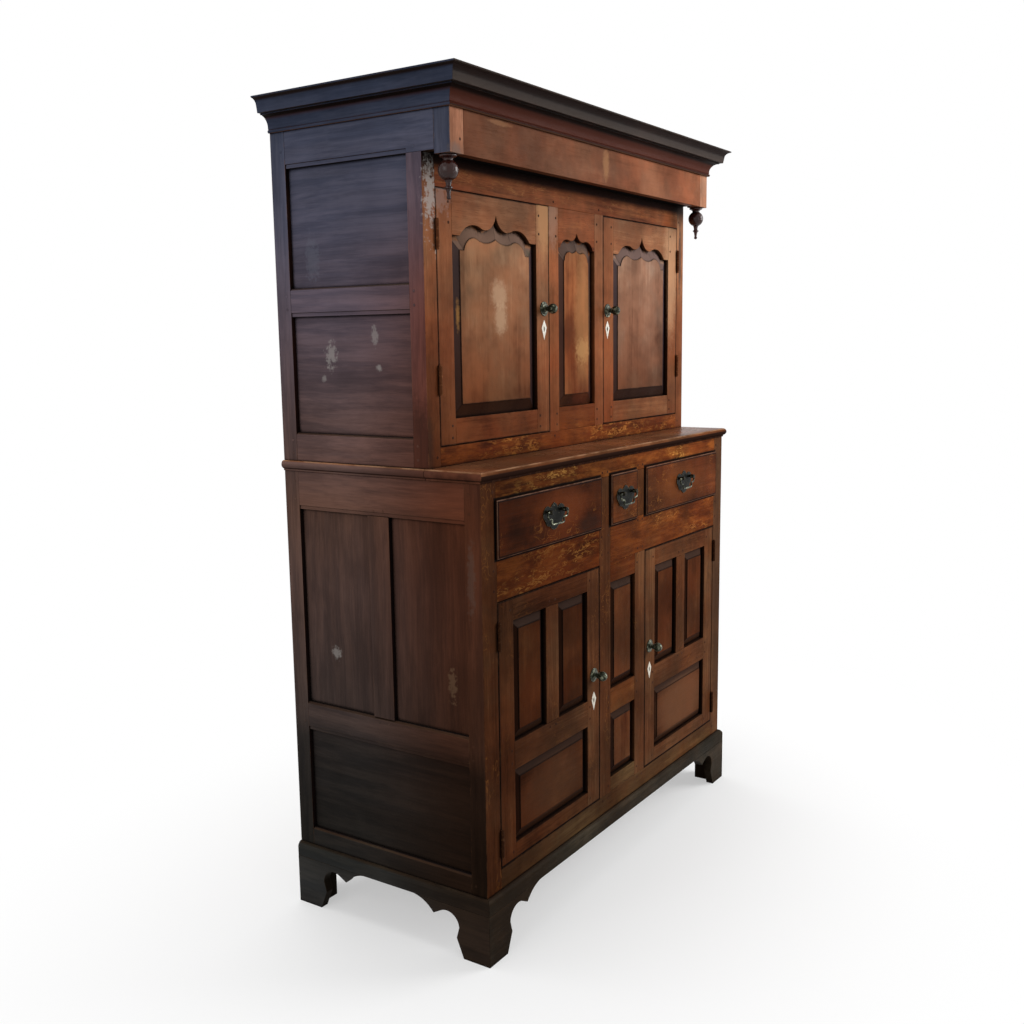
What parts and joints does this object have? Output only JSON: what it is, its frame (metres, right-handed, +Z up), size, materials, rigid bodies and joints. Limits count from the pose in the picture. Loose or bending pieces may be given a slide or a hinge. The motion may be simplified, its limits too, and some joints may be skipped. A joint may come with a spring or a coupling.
{
  "type": "court cupboard",
  "caption": "Tall joined oak cupboard in two stages: a set-back upper case with ogee-arched doors under a frieze with pendants, over drawers and panelled doors on bracket feet.",
  "frame": {"origin": "on the floor, under the middle of the cupboard's box: half way across its width, and half way from the tips of the lower doors' knobs to the back", "axes": "+Z up, the doors and drawers face -Y, the back is +Y, +X is to the right of someone facing the front"},
  "size_m": [1.399, 0.612, 1.95],
  "materials": {
    "oak_door": "worn wax",
    "oak_stile": "worn wax",
    "oak_rail": "worn wax, flecked quarter-sawn figure",
    "oak_panel": "worn wax",
    "oak_drawer": "worn wax",
    "oak_pale": "pale sapwood, worn wax",
    "oak_side": "dark wax",
    "oak_side_panel": "dark wax",
    "oak_dark": "dark wax",
    "oak_inside": "bare, dry",
    "bronze": "dark patina",
    "iron": "dark, worn",
    "bone": "aged"
  },
  "bodies": {
    "case": {"base_moulding": "oak_dark", "bracket_feet": "oak_dark", "centre_panels": "oak_panel", "cornice": "oak_dark", "drawer_runners": "oak_inside", "frame_hinges_and_pins": "iron", "frieze_board": "oak_rail", "frieze_corner_blocks": "oak_pale", "head_boards": "oak_inside", "ledge_board_and_mouldings": "oak_rail", "lower_back_boards": "oak_inside", "lower_inner_boards": "oak_inside", "lower_muntins": "oak_stile", "lower_posts": "oak_stile", "lower_rails": "oak_rail", "lower_side_panels": "oak_side_panel", "lower_side_rails": "oak_side", "pendants": "oak_dark", "upper_back_boards": "oak_inside", "upper_inner_boards": "oak_inside", "upper_rails": "oak_rail", "upper_side_panels": "oak_side_panel", "upper_side_rails": "oak_side", "upper_stiles": "oak_stile"},
    "upper_door_left": {"upper_door_left_frame": "oak_door", "upper_door_left_panels": "oak_panel", "upper_door_left_knob": "bronze", "upper_door_left_escutcheon": "bone", "upper_door_left_ironwork": "iron"},
    "upper_door_left_bolt": {"upper_door_left_lock_bolt": "iron"},
    "upper_door_right": {"upper_door_right_frame": "oak_door", "upper_door_right_panels": "oak_panel", "upper_door_right_knob": "bronze", "upper_door_right_escutcheon": "bone", "upper_door_right_ironwork": "iron"},
    "upper_door_right_bolt": {"upper_door_right_lock_bolt": "iron"},
    "lower_door_left": {"lower_door_left_frame": "oak_door", "lower_door_left_panels": "oak_panel", "lower_door_left_knob": "bronze", "lower_door_left_escutcheon": "bone", "lower_door_left_ironwork": "iron"},
    "lower_door_left_bolt": {"lower_door_left_lock_bolt": "iron"},
    "lower_door_right": {"lower_door_right_frame": "oak_door", "lower_door_right_panels": "oak_panel", "lower_door_right_knob": "bronze", "lower_door_right_escutcheon": "bone", "lower_door_right_ironwork": "iron"},
    "lower_door_right_bolt": {"lower_door_right_lock_bolt": "iron"},
    "drawer_left": {"drawer_left_front": "oak_drawer", "drawer_left_box": "oak_inside", "drawer_left_handle_plate": "bronze"},
    "drawer_left_bail": {"drawer_left_bail": "bronze"},
    "drawer_middle": {"drawer_middle_front": "oak_drawer", "drawer_middle_box": "oak_inside", "drawer_middle_handle_plate": "bronze"},
    "drawer_middle_bail": {"drawer_middle_bail": "bronze"},
    "drawer_right": {"drawer_right_front": "oak_drawer", "drawer_right_box": "oak_inside", "drawer_right_handle_plate": "bronze"},
    "drawer_right_bail": {"drawer_right_bail": "bronze"}
  },
  "joints": [
    {"name": "upper_door_left_hinge", "type": "hinge", "parent": "case", "child": "upper_door_left", "pos_m": [-0.60025, -0.1363, 1.4475], "axis": [0, 0, -1], "range_deg": [0, 95]},
    {"name": "upper_door_left_bolt_slide", "type": "slide", "parent": "upper_door_left", "child": "upper_door_left_bolt", "axis": [1, 0, 0], "range_m": [0, 0.009]},
    {"name": "upper_door_right_hinge", "type": "hinge", "parent": "case", "child": "upper_door_right", "pos_m": [0.60025, -0.1363, 1.4475], "axis": [0, 0, 1], "range_deg": [0, 95]},
    {"name": "upper_door_right_bolt_slide", "type": "slide", "parent": "upper_door_right", "child": "upper_door_right_bolt", "axis": [-1, 0, 0], "range_m": [0, 0.009]},
    {"name": "lower_door_left_hinge", "type": "hinge", "parent": "case", "child": "lower_door_left", "pos_m": [-0.58725, -0.2723, 0.518], "axis": [0, 0, -1], "range_deg": [0, 110]},
    {"name": "lower_door_left_bolt_slide", "type": "slide", "parent": "lower_door_left", "child": "lower_door_left_bolt", "axis": [1, 0, 0], "range_m": [0, 0.009]},
    {"name": "lower_door_right_hinge", "type": "hinge", "parent": "case", "child": "lower_door_right", "pos_m": [0.58725, -0.2723, 0.518], "axis": [0, 0, 1], "range_deg": [0, 110]},
    {"name": "lower_door_right_bolt_slide", "type": "slide", "parent": "lower_door_right", "child": "lower_door_right_bolt", "axis": [-1, 0, 0], "range_m": [0, 0.009]},
    {"name": "drawer_left_slide", "type": "slide", "parent": "case", "child": "drawer_left", "axis": [0, -1, 0], "range_m": [0, 0.4]},
    {"name": "drawer_left_bail_hinge", "type": "hinge", "parent": "drawer_left", "child": "drawer_left_bail", "pos_m": [-0.3575, -0.2865, 1.005], "axis": [-1, 0, 0], "range_deg": [0, 95]},
    {"name": "drawer_middle_slide", "type": "slide", "parent": "case", "child": "drawer_middle", "axis": [0, -1, 0], "range_m": [0, 0.4]},
    {"name": "drawer_middle_bail_hinge", "type": "hinge", "parent": "drawer_middle", "child": "drawer_middle_bail", "pos_m": [0, -0.2865, 1.005], "axis": [-1, 0, 0], "range_deg": [0, 95]},
    {"name": "drawer_right_slide", "type": "slide", "parent": "case", "child": "drawer_right", "axis": [0, -1, 0], "range_m": [0, 0.4]},
    {"name": "drawer_right_bail_hinge", "type": "hinge", "parent": "drawer_right", "child": "drawer_right_bail", "pos_m": [0.3575, -0.2865, 1.005], "axis": [-1, 0, 0], "range_deg": [0, 95]}
  ]
}
